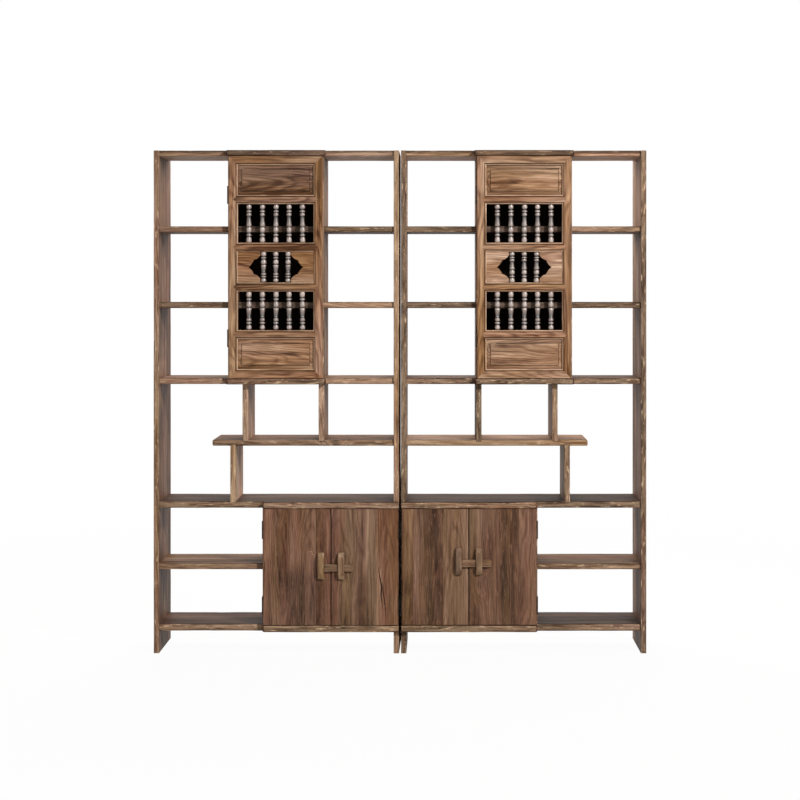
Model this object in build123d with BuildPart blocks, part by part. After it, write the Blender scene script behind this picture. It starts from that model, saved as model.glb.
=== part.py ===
"""A pair of open display cabinets in solid elm, with a lattice door above and latched doors below.

The origin is on the floor under the middle of the pair, +Z is up and the front faces -Y.
Left and right are as seen from the front. u runs into a unit from its outer face.
"""
import os
from build123d import *

os.makedirs("parts", exist_ok=True)

# Casework
unit_width = 1000.0
unit_depth = 350.0
pair_gap = 8.0
side_thick = 22.0
board_thick = 24.0
top_thick = 23.0
counter_thick = 27.0
bottom_thick = 28.0
wall_thick = 22.0
divider_thick = 23.0
back_thick = 10.0
housing = 6.0            # how far a board runs into the one that carries it
shelf_setback = 8.0      # open shelf fronts behind the side panels' front edges
back_setback = 40.0      # shelf backs short of the side panels' back edges
back_inset = 8.0         # back panels in from the shelves' back edges
lip_reach = 26.0         # lips over and under the doors, ahead of the side panels
lip_overhang = 8.0       # upper lips past the cupboard walls
lip_corner = 12.0
top_corner = 4.0

# Heights, from the floor up
foot_height = 90.0
lowest_bay = 223.0
base_bay = 227.0
step_bay = 226.0
divider_bay = 228.0
upper_bay = 286.0

# Places across a unit, from its outer face
cupboard_offset = 303.0
cupboard_width = 391.0
divider_offset = 361.0
step_tip_offset = 238.0
post_offset = 311.0
base_wall_offset = 444.0

# Doors
door_thick = 22.0
door_gap = 1.0           # behind a closed door
door_play = 1.5          # above and below a door
meeting_gap = 4.0        # between the two lower doors
meeting_offset = 724.0   # where they meet, from the outer face
stile_width = 37.0
end_rail = 37.0
inner_rail = 37.0
panel_opening = 121.0
baluster_opening = 157.0
shoulder_depth = 8.0     # front layer of a rail, with its pointed ends
tenon_thick = 8.0
tenon_length = 24.0
tenon_inset = 6.0        # tenon narrower than its rail, each side
frame_chamfer = 3.5
groove_depth = 6.0
tongue_thick = 6.0
panel_recess = 9.0       # tongue behind the door's front
field_margin = 17.0
field_bevel = 4.0
field_step = 2.0
cusp_board_thick = 12.0
cusp_recess = 4.0
cusp_throat = 62.5       # half the middle opening of the cusped boards
cusp_notch = (90.0, 28.0)
cusp_tip = 112.0
cusp_shoulder = 48.0
cusp_bulge = 3.0

# Balusters
baluster_radius = 10.8
baluster_pitch = 54.5
cusp_baluster_pitch = 49.5
dowel_radius = 4.0
dowel_length = 8.0
row_count = 5
cusp_row_count = 3

# Lower doors: where the glued boards meet, as shares of the door's width
door_joints = {
    "left_unit_left_door": (0.40, 0.78),
    "left_unit_right_door": (0.30, 0.68),
    "right_unit_left_door": (0.17, 0.62),
    "right_unit_right_door": (0.40, 0.74),
}

# Latch
latch_heights = {"left_unit": 353.0, "right_unit": 372.0}
latch_offset = 41.0      # from the meeting of the doors to each post's middle
post_width = 26.0
post_height = 110.0
post_proud = 20.0
post_rise = 7.0          # a post's middle above the bar's
post_bevel = (24.0, 10.0)
post_tenon = 12.0
post_tenon_length = 10.0
bar_height = 29.0
bar_thick = 12.0
bar_stub = 39.0          # bar past the latch post
bar_chamfer = 4.0
bar_rest_gap = 0.8       # between the bar's end and the keeper, unlatched
latched_travel = 18.0
slide_clear = 0.3
peg_radius = 2.5
peg_proud = 3.5
peg_sunk = 8.0
peg_offset = 22.0        # from the keeper's face, with the bar at rest

# Hinges
hinge_length = 70.0
leaf_thick = 1.5
leaf_reach = 25.0        # fixed leaf on the wall, behind the front edge
knuckle_radius = 3.0
pin_radius = 1.5
pin_head = 1.2
pin_clear = 0.05
running_clear = 0.3
knuckle_clear = 0.6      # leaves behind the knuckles
screw_radius = 1.5
screw_head = 2.7
screw_length = 12.0
screw_spread = 40.0
upper_hinges = (162.0, 158.0)   # middles, in from the upper door's foot and head
lower_hinges = (78.0, 85.0)     # the same on the lower doors

# Depth: front edges of the side panels, with the whole depth centred on Y = 0
reach = door_gap + door_thick + post_proud
front = (reach - unit_depth) / 2
side_back = front + unit_depth
shelf_front = front + shelf_setback
shelf_back = side_back - back_setback
back_front = shelf_back - back_inset - back_thick
lip_front = front - lip_reach
door_back = front - door_gap
door_front = door_back - door_thick

# Levels: lower faces of the boards
bottom_level = foot_height
bottom_top = bottom_level + bottom_thick
low_level = bottom_top + lowest_bay
low_top = low_level + board_thick
counter_level = low_top + base_bay
counter_top = counter_level + counter_thick
step_level = counter_top + step_bay
step_top = step_level + board_thick
middle_level = step_top + divider_bay
middle_top = middle_level + board_thick
shelf_levels = [middle_top + upper_bay + row * (board_thick + upper_bay) for row in range(2)]
top_level = shelf_levels[1] + board_thick + upper_bay
unit_height = top_level + top_thick

# Across: faces met from the outer face inwards
outer_in = side_thick
inner_in = unit_width - side_thick
cup_a = cupboard_offset
cup_b = cupboard_offset + wall_thick
cup_c = cupboard_offset + cupboard_width - wall_thick
cup_d = cupboard_offset + cupboard_width
inner_divider = (cup_c + cup_d - divider_thick) / 2
base_a = base_wall_offset
base_b = base_wall_offset + wall_thick

# Hinge axis: out from the wall's face and back from the door's front
axis_inset = knuckle_radius - leaf_thick
edge_gap = knuckle_radius + running_clear
door_inset = axis_inset + edge_gap
axis_y = door_front + knuckle_radius
leaf_start = axis_y + knuckle_radius + knuckle_clear
door_screw_y = (leaf_start + door_back) / 2
wall_screw_y = front + leaf_reach / 2

upper_door_z = (middle_top + door_play, top_level - door_play)
lower_door_z = (bottom_top + door_play, counter_level - door_play)


def across(side, u):
    """X of a place u millimetres in from the outer face of the unit on that side."""
    return side * (pair_gap / 2 + unit_width - u)


def block(x, y, z, mode=Mode.ADD):
    """A box between two X, two Y and two Z values."""
    with Locations(((x[0] + x[1]) / 2, (y[0] + y[1]) / 2, (z[0] + z[1]) / 2)):
        Box(abs(x[1] - x[0]), abs(y[1] - y[0]), abs(z[1] - z[0]), mode=mode)


def slab(side, u, y, z, mode=Mode.ADD):
    """A box given by its distances into a unit."""
    block((across(side, u[0]), across(side, u[1])), y, z, mode)


def save(name, piece):
    """Write a node made of one piece, or of like pieces that stand apart."""
    piece.part.label = name
    export_step(piece.part, f"parts/{name}.step")


def save_group(name, pieces):
    """Write a node of pieces that touch one another and stay separate solids."""
    solids = [solid for piece in pieces for solid in piece.part.solids()]
    group = Compound(label=name, children=solids)
    export_step(group, f"parts/{name}.step")


def screw_holes(points, direction):
    """Holes along X for screws whose heads stand on the side that direction points away from."""
    for x, y, z in points:
        block_end = x + direction * screw_length
        with Locations(Location(((x + block_end) / 2, y, z), (0, 90, 0))):
            Cylinder(screw_radius, screw_length, mode=Mode.SUBTRACT)


def hinge_heights(door_z, insets):
    """Middles of a door's two hinges."""
    return (door_z[0] + insets[0], door_z[1] - insets[1])


def screw_points(x, y, heights):
    """Screw places on the leaves of one door."""
    half = screw_spread / 2
    return [(x, y, middle + offset) for middle in heights for offset in (-half, half)]


# Boards that run into their carriers: u, y and z of each, with the housed ends
cupboard_shelf_u = (cup_b - housing, cup_c + housing)
shelf_y = (shelf_front, shelf_back)
wall_y = (front, shelf_back)
cupboard_back_box = (
    (cup_b - housing, cup_c + housing),
    (back_front, back_front + back_thick),
    (middle_top - housing, top_level + housing),
)
base_back_box = (
    (base_b - housing, inner_in + housing),
    (back_front, back_front + back_thick),
    (bottom_top - housing, counter_level + housing),
)
cupboard_wall_z = (middle_top - housing, top_level + housing)
outer_shelf_boxes = [
    ((outer_in - housing, cup_a + housing), shelf_y, (z, z + board_thick)) for z in shelf_levels
]
inner_shelf_boxes = [
    ((cup_d - housing, inner_in + housing), shelf_y, (z, z + board_thick)) for z in shelf_levels
]
cupboard_shelf_boxes = [
    (cupboard_shelf_u, (shelf_front, back_front), (z, z + board_thick)) for z in shelf_levels
]
low_shelf_box = ((outer_in - housing, base_a + housing), shelf_y, (low_level, low_top))
step_box = ((step_tip_offset, inner_in + housing), shelf_y, (step_level, step_top))
divider_boxes = [
    ((u, u + divider_thick), shelf_y, (step_top - housing, middle_level + housing))
    for u in (divider_offset, inner_divider)
]
post_box = (
    (post_offset, post_offset + divider_thick),
    shelf_y,
    (counter_top - housing, step_level + housing),
)
base_wall_box = ((base_a, base_b), wall_y, (bottom_top - housing, counter_level + housing))
cupboard_wall_boxes = [((cup_a, cup_b), wall_y, cupboard_wall_z), ((cup_c, cup_d), wall_y, cupboard_wall_z)]


def cut_boxes(side, boxes):
    """Housings for the boards that run into this one."""
    for u, y, z in boxes:
        slab(side, u, y, z, Mode.SUBTRACT)


def board_outline(side, lip, wraps_inner_side):
    """Outline of a full-width board whose lip stands ahead of the side panels."""
    lip_from, lip_to = lip
    points = [(outer_in - housing, shelf_front), (lip_from, shelf_front), (lip_from, lip_front)]
    if wraps_inner_side:
        points += [(unit_width, lip_front), (unit_width, front), (inner_in, front), (inner_in, shelf_front)]
    else:
        points += [(lip_to, lip_front), (lip_to, shelf_front)]
    points += [
        (inner_in + housing, shelf_front),
        (inner_in + housing, shelf_back),
        (outer_in - housing, shelf_back),
    ]
    return [(across(side, u), y) for u, y in points]


def lipped_board(side, level, thick, lip, wraps_inner_side, housed):
    """A board between the side panels with its lip and the housings cut in it."""
    with BuildPart() as board:
        with BuildSketch(Plane.XY.offset(level)) as outline:
            with BuildLine():
                Polyline(board_outline(side, lip, wraps_inner_side), close=True)
            make_face()
            lip_corners = outline.vertices().group_by(Axis.Y)[0]
            outer_first = lip_corners.sort_by(Axis.X, reverse=side > 0)
            rounded = outer_first[:1] if wraps_inner_side else outer_first
            fillet(rounded, radius=lip_corner)
        extrude(amount=thick)
        cut_boxes(side, housed)
    return board


def lip_boxes(side_boards):
    """Housings in a side panel: the ends of full-width boards, as (level, thickness)."""
    full = (outer_in - housing, inner_in + housing)
    return [(full, shelf_y, (level, level + thick)) for level, thick in side_boards]


def make_casework(side, unit):
    """All fixed boards of one unit."""
    full_boards = [
        (top_level, top_thick),
        (middle_level, board_thick),
        (counter_level, counter_thick),
        (bottom_level, bottom_thick),
    ]
    centre_hinged = hinge_heights(lower_door_z, lower_hinges)

    with BuildPart() as outer_side:
        slab(side, (0, side_thick), (front, side_back), (0, unit_height))
        corner = outer_side.edges().filter_by(Axis.Y).group_by(Axis.Z)[-1].sort_by(Axis.X)
        fillet(corner[-1] if side > 0 else corner[0], radius=top_corner)
        cut_boxes(side, lip_boxes(full_boards) + outer_shelf_boxes + [low_shelf_box])
    save(f"{unit}_outer_side", outer_side)

    with BuildPart() as inner_side:
        slab(side, (inner_in, unit_width), (front, side_back), (0, unit_height))
        cut_boxes(side, lip_boxes(full_boards) + inner_shelf_boxes + [step_box, base_back_box])
        inner_points = screw_points(across(side, unit_width), wall_screw_y, centre_hinged)
        screw_holes(inner_points, side)
    save(f"{unit}_inner_side", inner_side)

    upper_lip = (cup_a - lip_overhang, cup_d + lip_overhang)
    lower_lip = (base_a, unit_width)
    top_board = lipped_board(
        side, top_level, top_thick, upper_lip, False, cupboard_wall_boxes + [cupboard_back_box]
    )
    save(f"{unit}_top_board", top_board)

    with BuildPart() as upper_shelves:
        for u, y, z in outer_shelf_boxes + inner_shelf_boxes:
            slab(side, u, y, z)
    save(f"{unit}_upper_shelves", upper_shelves)

    with BuildPart() as cupboard_shelves:
        for u, y, z in cupboard_shelf_boxes:
            slab(side, u, y, z)
    save(f"{unit}_cupboard_shelves", cupboard_shelves)

    with BuildPart() as cupboard_walls:
        for u, y, z in cupboard_wall_boxes:
            slab(side, u, y, z)
        cut_boxes(side, outer_shelf_boxes + inner_shelf_boxes + cupboard_shelf_boxes + [cupboard_back_box])
        hinged_wall_x = min(across(side, cup_a), across(side, cup_d))
        upper_points = screw_points(hinged_wall_x, wall_screw_y, hinge_heights(upper_door_z, upper_hinges))
        screw_holes(upper_points, 1)
    save(f"{unit}_cupboard_walls", cupboard_walls)

    with BuildPart() as cupboard_back:
        slab(side, *cupboard_back_box)
    save(f"{unit}_cupboard_back", cupboard_back)

    middle_board = lipped_board(
        side, middle_level, board_thick, upper_lip, False,
        cupboard_wall_boxes + [cupboard_back_box] + divider_boxes,
    )
    save(f"{unit}_middle_board", middle_board)

    with BuildPart() as dividers:
        for u, y, z in divider_boxes:
            slab(side, u, y, z)
    save(f"{unit}_dividers", dividers)

    with BuildPart() as stepped_shelf:
        slab(side, *step_box)
        cut_boxes(side, divider_boxes + [post_box])
    save(f"{unit}_stepped_shelf", stepped_shelf)

    with BuildPart() as shelf_post:
        slab(side, *post_box)
    save(f"{unit}_shelf_post", shelf_post)

    counter_board = lipped_board(
        side, counter_level, counter_thick, lower_lip, True, [base_wall_box, base_back_box, post_box]
    )
    save(f"{unit}_counter_board", counter_board)

    with BuildPart() as base_wall:
        slab(side, *base_wall_box)
        cut_boxes(side, [low_shelf_box, base_back_box])
        wall_points = screw_points(across(side, base_a), wall_screw_y, centre_hinged)
        screw_holes(wall_points, -side)
    save(f"{unit}_base_wall", base_wall)

    with BuildPart() as base_back:
        slab(side, *base_back_box)
    save(f"{unit}_base_back", base_back)

    with BuildPart() as low_shelf:
        slab(side, *low_shelf_box)
    save(f"{unit}_low_shelf", low_shelf)

    bottom_board = lipped_board(
        side, bottom_level, bottom_thick, lower_lip, True, [base_wall_box, base_back_box]
    )
    save(f"{unit}_bottom_board", bottom_board)


def rail_levels():
    """Lower and upper edge of each rail, from the door's foot up, and the openings between."""
    foot, head = upper_door_z
    cusped_opening = (head - foot) - 2 * end_rail - 4 * inner_rail - 2 * panel_opening - 2 * baluster_opening
    openings = [panel_opening, baluster_opening, cusped_opening, baluster_opening, panel_opening]
    rails = [(foot, foot + end_rail)]
    gaps = []
    for index, opening in enumerate(openings):
        start = rails[-1][1]
        gaps.append((start, start + opening))
        thick = end_rail if index == len(openings) - 1 else inner_rail
        rails.append((start + opening, start + opening + thick))
    return rails, gaps


rails_z, openings_z = rail_levels()
turned_profile = [
    # share of the length, radius at its top, middle and foot, as shares of the largest
    (0.145, 0.72, 1.00, 0.74),
    (0.020, 0.70, 0.66, 0.70),
    (0.045, 0.84, 1.00, 0.84),
    (0.020, 0.74, 0.70, 0.76),
    (0.085, 0.84, 0.95, 0.84),
    (0.255, 0.76, 0.86, 1.00),
    (0.020, 0.80, 0.74, 0.80),
    (0.160, 0.86, 1.00, 0.82),
    (0.030, 0.78, 0.74, 0.78),
    (0.045, 0.84, 1.00, 0.84),
    (0.015, 0.76, 0.72, 0.76),
    (0.160, 0.80, 1.00, 0.90),
]


def make_baluster(length):
    """One turned baluster on the Z axis, foot at zero, with a dowel at each end."""
    with BuildPart() as baluster:
        with BuildSketch(Plane.XZ):
            with BuildLine():
                height = length
                top = (turned_profile[0][1] * baluster_radius, length)
                head = Polyline((0, length + dowel_length), (dowel_radius, length + dowel_length),
                                (dowel_radius, length), top)
                here = head @ 1
                for share, above, middle, below in turned_profile:
                    step = share * length
                    start = (above * baluster_radius, height)
                    if abs(here.X - start[0]) > 0.01:
                        Line(here, start)
                    last = (below * baluster_radius, height - step)
                    ThreePointArc(start, (middle * baluster_radius, height - step / 2), last)
                    here = Vector(last[0], last[1])
                    height -= step
                Polyline(here, (dowel_radius, 0), (dowel_radius, -dowel_length), (0, -dowel_length))
                Line((0, -dowel_length), (0, length + dowel_length))
            make_face()
        revolve(axis=Axis.Z)
    return baluster


def row_places(count, pitch):
    """Places of a row of balusters either side of the middle."""
    return [(index - (count - 1) / 2) * pitch for index in range(count)]


def make_upper_door(side, unit):
    """The lattice door: frame, panels, cusped boards and balusters."""
    edge_a = across(side, cup_a)
    edge_b = across(side, cup_d)
    x0 = min(edge_a, edge_b) + door_inset
    x1 = max(edge_a, edge_b) - door_inset
    xm = (x0 + x1) / 2
    inner0 = x0 + stile_width
    inner1 = x1 - stile_width
    foot, head = upper_door_z
    mid_y = (door_front + door_back) / 2
    front_layer = Plane.XZ.offset(-door_front)
    tenon_y = (mid_y - tenon_thick / 2 + shoulder_depth / 2, mid_y + tenon_thick / 2 + shoulder_depth / 2)
    tongue_y = (door_front + panel_recess, door_front + panel_recess + tongue_thick)
    cusp_y = (door_front + cusp_recess, door_front + cusp_recess + cusp_board_thick)
    places = [
        (openings_z[1], row_count, baluster_pitch),
        (openings_z[2], cusp_row_count, cusp_baluster_pitch),
        (openings_z[3], row_count, baluster_pitch),
    ]

    def rail_points(index):
        """Front outline of a rail: mitred at the door's ends, pointed in between."""
        low, high = rails_z[index]
        middle = (low + high) / 2
        if index == 0:
            return [(x0, low), (x1, low), (inner1, high), (inner0, high)]
        if index == len(rails_z) - 1:
            return [(x0, high), (inner0, low), (inner1, low), (x1, high)]
        point = (high - low) / 2
        return [
            (inner0, low), (inner1, low), (inner1 + point, middle),
            (inner1, high), (inner0, high), (inner0 - point, middle),
        ]

    def add_rails(mode=Mode.ADD):
        """All six rails, each with its shoulders and tenons."""
        for index, (low, high) in enumerate(rails_z):
            with BuildSketch(front_layer) as shoulders:
                with BuildLine():
                    Polyline(rail_points(index), close=True)
                make_face()
            extrude(shoulders.sketch, amount=-shoulder_depth, mode=mode)
            block((inner0, inner1), (door_front + shoulder_depth, door_back), (low, high), mode)
            tenon_z = (low + tenon_inset, high - tenon_inset)
            block((inner0 - tenon_length, inner1 + tenon_length), tenon_y, tenon_z, mode)

    def cut_opening_edges():
        """Mitred chamfer round the front of each opening."""
        for low, high in openings_z:
            plane = Plane(origin=(xm, door_front, (low + high) / 2), x_dir=(1, 0, 0), z_dir=(0, 1, 0))
            with BuildSketch(plane) as mouth:
                Rectangle(inner1 - inner0 + 2 * frame_chamfer, high - low + 2 * frame_chamfer)
            extrude(mouth.sketch, amount=frame_chamfer, taper=45, mode=Mode.SUBTRACT)

    def cut_grooves():
        """Grooves that hold the panels and the cusped boards."""
        for index in (0, 4):
            low, high = openings_z[index]
            block((inner0 - groove_depth, inner1 + groove_depth), tongue_y,
                  (low - groove_depth, high + groove_depth), Mode.SUBTRACT)
        low, high = openings_z[2]
        for x in ((inner0 - groove_depth, xm - cusp_throat), (xm + cusp_throat, inner1 + groove_depth)):
            block(x, cusp_y, (low - groove_depth, high + groove_depth), Mode.SUBTRACT)

    with BuildPart() as rails:
        add_rails()
        cut_opening_edges()
        cut_grooves()
        for (low, high), count, pitch in places:
            for offset in row_places(count, pitch):
                for z in (low - dowel_length / 2, high + dowel_length / 2):
                    with Locations((xm + offset, mid_y, z)):
                        Cylinder(dowel_radius, dowel_length, mode=Mode.SUBTRACT)
    save(f"{unit}_upper_door_rails", rails)

    with BuildPart() as stiles:
        block((x0, inner0), (door_front, door_back), (foot, head))
        block((inner1, x1), (door_front, door_back), (foot, head))
        add_rails(Mode.SUBTRACT)
        cut_opening_edges()
        cut_grooves()
        points = screw_points(x0, door_screw_y, hinge_heights(upper_door_z, upper_hinges))
        screw_holes(points, 1)
    save(f"{unit}_upper_door_stiles", stiles)

    with BuildPart() as raised_panels:
        for index in (0, 4):
            low, high = openings_z[index]
            middle = (low + high) / 2
            block((inner0 - groove_depth, inner1 + groove_depth), tongue_y,
                  (low - groove_depth, high + groove_depth))
            width = inner1 - inner0
            height = high - low
            bevel_y = tongue_y[0] - field_bevel
            with BuildSketch(Plane((xm, tongue_y[0], middle), x_dir=(1, 0, 0), z_dir=(0, -1, 0))):
                Rectangle(width, height)
            with BuildSketch(Plane((xm, bevel_y, middle), x_dir=(1, 0, 0), z_dir=(0, -1, 0))):
                Rectangle(width - 2 * field_margin, height - 2 * field_margin)
            loft()
            field_x = (inner0 + field_margin, inner1 - field_margin)
            block(field_x, (bevel_y - field_step, bevel_y), (low + field_margin, high - field_margin))
    save(f"{unit}_upper_door_raised_panels", raised_panels)

    with BuildPart() as cusped_boards:
        low, high = openings_z[2]
        middle = (low + high) / 2
        notch_x, notch_z = cusp_notch
        lead_z = (cusp_shoulder + notch_z) / 2 - cusp_bulge
        tip_z = notch_z / 2 - cusp_bulge
        for hand in (-1, 1):
            groove_x = xm + hand * ((inner1 - inner0) / 2 + groove_depth)
            with BuildSketch(Plane.XZ.offset(-cusp_y[0])):
                with BuildLine():
                    for up in (1, -1):
                        throat = xm + hand * cusp_throat
                        notch = (xm + hand * notch_x, middle + up * notch_z)
                        shoulder = (throat, middle + up * cusp_shoulder)
                        edge_z = high + groove_depth if up > 0 else low - groove_depth
                        Line((groove_x, edge_z), (throat, edge_z))
                        Line((throat, edge_z), shoulder)
                        lead_x = xm + hand * ((cusp_throat + notch_x) / 2 - cusp_bulge / 2)
                        ThreePointArc(shoulder, (lead_x, middle + up * lead_z), notch)
                        bow_x = xm + hand * ((notch_x + cusp_tip) / 2 - cusp_bulge / 2)
                        ThreePointArc(notch, (bow_x, middle + up * tip_z), (xm + hand * cusp_tip, middle))
                    Line((groove_x, low - groove_depth), (groove_x, high + groove_depth))
                make_face()
            extrude(amount=-cusp_board_thick)
    save(f"{unit}_upper_door_cusped_boards", cusped_boards)

    with BuildPart() as balusters:
        for (low, high), count, pitch in places:
            baluster = make_baluster(high - low)
            for offset in row_places(count, pitch):
                with Locations((xm + offset, mid_y, low)):
                    add(baluster.part)
    save(f"{unit}_upper_door_balusters", balusters)


def make_fixed_leaf(wall_x, outward, middle):
    """The leaf on the wall's face, with the first and last knuckle."""
    axis_x = wall_x - outward * axis_inset
    low = middle - hinge_length / 2
    third = hinge_length / 3
    plate_x = (wall_x, wall_x + outward * leaf_thick)
    with BuildPart() as leaf:
        block(plate_x, (leaf_start, front + leaf_reach), (low, low + hinge_length))
        for start in (low, low + 2 * third):
            block(plate_x, (axis_y, leaf_start), (start, start + third))
            with Locations((axis_x, axis_y, start + third / 2)):
                Cylinder(knuckle_radius, third)
        with Locations((axis_x, axis_y, middle)):
            Cylinder(pin_radius + pin_clear, hinge_length, mode=Mode.SUBTRACT)
        cut_countersinks(wall_x + outward * leaf_thick, -outward, wall_screw_y, middle)
    return leaf


def make_door_leaf(wall_x, outward, middle):
    """The leaf on the door's edge, with the middle knuckle."""
    axis_x = wall_x - outward * axis_inset
    edge_x = axis_x - outward * edge_gap
    low = middle - hinge_length / 2
    third = hinge_length / 3
    plate_x = (edge_x, edge_x + outward * leaf_thick)
    with BuildPart() as leaf:
        block(plate_x, (leaf_start, door_back), (low, low + hinge_length))
        span = (low + third + running_clear, low + 2 * third - running_clear)
        block(plate_x, (axis_y, leaf_start), span)
        with Locations((axis_x, axis_y, middle)):
            Cylinder(knuckle_radius, span[1] - span[0])
            Cylinder(pin_radius + pin_clear, hinge_length, mode=Mode.SUBTRACT)
        cut_countersinks(edge_x + outward * leaf_thick, -outward, door_screw_y, middle)
    return leaf


def cone_at(x, direction, y, z, mode=Mode.ADD):
    """A screw head's cone along X, wide at x and narrowing in the direction it is driven."""
    turn = 90 * direction
    with Locations(Location((x, y, z), (0, turn, 0))):
        Cone(screw_head, screw_radius, leaf_thick, align=(Align.CENTER, Align.CENTER, Align.MIN), mode=mode)


def cut_countersinks(x, direction, y, middle):
    """Countersunk holes of a leaf's two screws."""
    for z in (middle - screw_spread / 2, middle + screw_spread / 2):
        cone_at(x, direction, y, z, Mode.SUBTRACT)


def make_screws(x, direction, y, middle):
    """A leaf's two screws, heads flush with its face."""
    screws = []
    for z in (middle - screw_spread / 2, middle + screw_spread / 2):
        with BuildPart() as screw:
            cone_at(x, direction, y, z)
            centre = x + direction * (leaf_thick + screw_length / 2)
            with Locations(Location((centre, y, z), (0, 90, 0))):
                Cylinder(screw_radius, screw_length)
        screws.append(screw)
    return screws


def make_pin(wall_x, outward, middle):
    """A hinge pin with a head above and below the knuckles."""
    with BuildPart() as pin:
        with Locations((wall_x - outward * axis_inset, axis_y, middle)):
            Cylinder(pin_radius, hinge_length + 2 * running_clear)
        for up in (-1, 1):
            z = middle + up * (hinge_length / 2 + running_clear + pin_head / 2)
            with Locations((wall_x - outward * axis_inset, axis_y, z)):
                Cylinder(knuckle_radius - leaf_thick / 2, pin_head)
    return pin


def make_door_boards(name, x0, x1, x_screws, screw_direction, latch_x, latch_z):
    """A lower door: edge-glued boards, with mortises for its post and holes for its screws."""
    low, high = lower_door_z
    shares = (0.0, *door_joints[name], 1.0)
    edges = [x0 + share * (x1 - x0) for share in shares]
    boards = []
    hinged = 0 if screw_direction > 0 else len(edges) - 2
    for index, (left, right) in enumerate(zip(edges, edges[1:])):
        with BuildPart() as board:
            block((left, right), (door_front, door_back), (low, high))
            for x, y, z in post_tenons(latch_x, latch_z):
                block(x, y, z, Mode.SUBTRACT)
            if index == hinged:
                points = screw_points(x_screws, door_screw_y, hinge_heights(lower_door_z, lower_hinges))
                screw_holes(points, screw_direction)
        boards.append(board)
    save_group(f"{name}_boards", boards)


def post_tenons(x, z):
    """The two stub tenons that fix a latch post in its door."""
    half = post_tenon / 2
    middle = z + post_rise
    offset = (bar_height + post_height) / 4 + slide_clear
    tenons = []
    for height in (middle - offset, middle + offset):
        tenons.append(((x - half, x + half), (door_front, door_front + post_tenon_length),
                       (height - half, height + half)))
    return tenons


def make_post(x, z, slot):
    """A latch post with bevelled ends, stub tenons and the slot that takes the bar."""
    low = z + post_rise - post_height / 2
    high = low + post_height
    face = door_front - post_proud
    rise, cut = post_bevel
    with BuildPart() as post:
        with BuildSketch(Plane.YZ.offset(x - post_width / 2)):
            with BuildLine():
                Polyline(
                    (door_front, low), (door_front, high), (face + cut, high), (face, high - rise),
                    (face, low + rise), (face + cut, low), close=True,
                )
            make_face()
        extrude(amount=post_width)
        for tenon in post_tenons(x, z):
            block(*tenon)
        slot_y = (door_front, door_front - bar_thick - 2 * slide_clear)
        block(slot, slot_y, (z - bar_height / 2 - slide_clear, z + bar_height / 2 + slide_clear), Mode.SUBTRACT)
    return post


def make_latch(unit, meeting_x, z):
    """Keeper on the left door, post on the right door, and the sliding bar with its stop peg."""
    keeper_x = meeting_x - latch_offset
    post_x = meeting_x + latch_offset
    keeper_face = keeper_x + post_width / 2
    keeper = make_post(keeper_x, z, (keeper_face - latched_travel - slide_clear, keeper_face))
    save(f"{unit}_latch_keeper", keeper)
    post = make_post(post_x, z, (post_x - post_width / 2, post_x + post_width / 2))
    save(f"{unit}_latch_post", post)

    bar_x = (keeper_face + bar_rest_gap, post_x + post_width / 2 + bar_stub)
    bar_y = (door_front - slide_clear - bar_thick, door_front - slide_clear)
    bar_z = (z - bar_height / 2, z + bar_height / 2)
    peg_x = keeper_face + peg_offset
    peg_length = peg_proud + peg_sunk
    peg_place = (peg_x, sum(bar_y) / 2, bar_z[1] + peg_proud - peg_length / 2)
    with BuildPart() as bar:
        block(bar_x, bar_y, bar_z)
        end = bar.faces().sort_by(Axis.X)[-1]
        chamfer(end.edges(), length=bar_chamfer)
        with Locations(peg_place):
            Cylinder(peg_radius, peg_length, mode=Mode.SUBTRACT)
    with BuildPart() as peg:
        with Locations(peg_place):
            Cylinder(peg_radius, peg_length)
    save_group(f"{unit}_latch_bar", [bar, peg])


def make_doors_and_hinges(side, unit):
    """Doors, latch and hinges of one unit; the fixed leaves and pins go back to the caller."""
    outer_edge = across(side, base_a)
    inner_edge = across(side, unit_width)
    walls = sorted((outer_edge, inner_edge))
    meeting_x = across(side, meeting_offset)
    latch_z = latch_heights[unit]
    left_span = (walls[0] + door_inset, meeting_x - meeting_gap / 2)
    right_span = (meeting_x + meeting_gap / 2, walls[1] - door_inset)
    make_door_boards(f"{unit}_left_door", *left_span, left_span[0], 1, meeting_x - latch_offset, latch_z)
    make_door_boards(f"{unit}_right_door", *right_span, right_span[1], -1, meeting_x + latch_offset, latch_z)
    make_latch(unit, meeting_x, latch_z)

    lower = hinge_heights(lower_door_z, lower_hinges)
    upper = hinge_heights(upper_door_z, upper_hinges)
    upper_wall = min(across(side, cup_a), across(side, cup_d))
    hinged_doors = [
        ("upper_door", upper_wall, -1, upper),
        ("left_door", walls[0], -1, lower),
        ("right_door", walls[1], 1, lower),
    ]
    fixed = []
    pins = []
    for door, wall_x, outward, heights in hinged_doors:
        leaves = []
        for middle in heights:
            fixed.append(make_fixed_leaf(wall_x, outward, middle))
            fixed += make_screws(wall_x + outward * leaf_thick, -outward, wall_screw_y, middle)
            pins.append(make_pin(wall_x, outward, middle))
            face_x = wall_x - outward * (door_inset - leaf_thick)
            leaves.append(make_door_leaf(wall_x, outward, middle))
            leaves += make_screws(face_x, -outward, door_screw_y, middle)
        save_group(f"{unit}_{door}_hinge_leaves", leaves)
    return fixed, pins


fixed_leaves = []
hinge_pins = []
for side, unit in ((-1, "left_unit"), (1, "right_unit")):
    make_casework(side, unit)
    make_upper_door(side, unit)
    unit_leaves, unit_pins = make_doors_and_hinges(side, unit)
    fixed_leaves += unit_leaves
    hinge_pins += unit_pins
save_group("fixed_hinge_leaves", fixed_leaves)
save_group("hinge_pins", hinge_pins)

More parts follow.
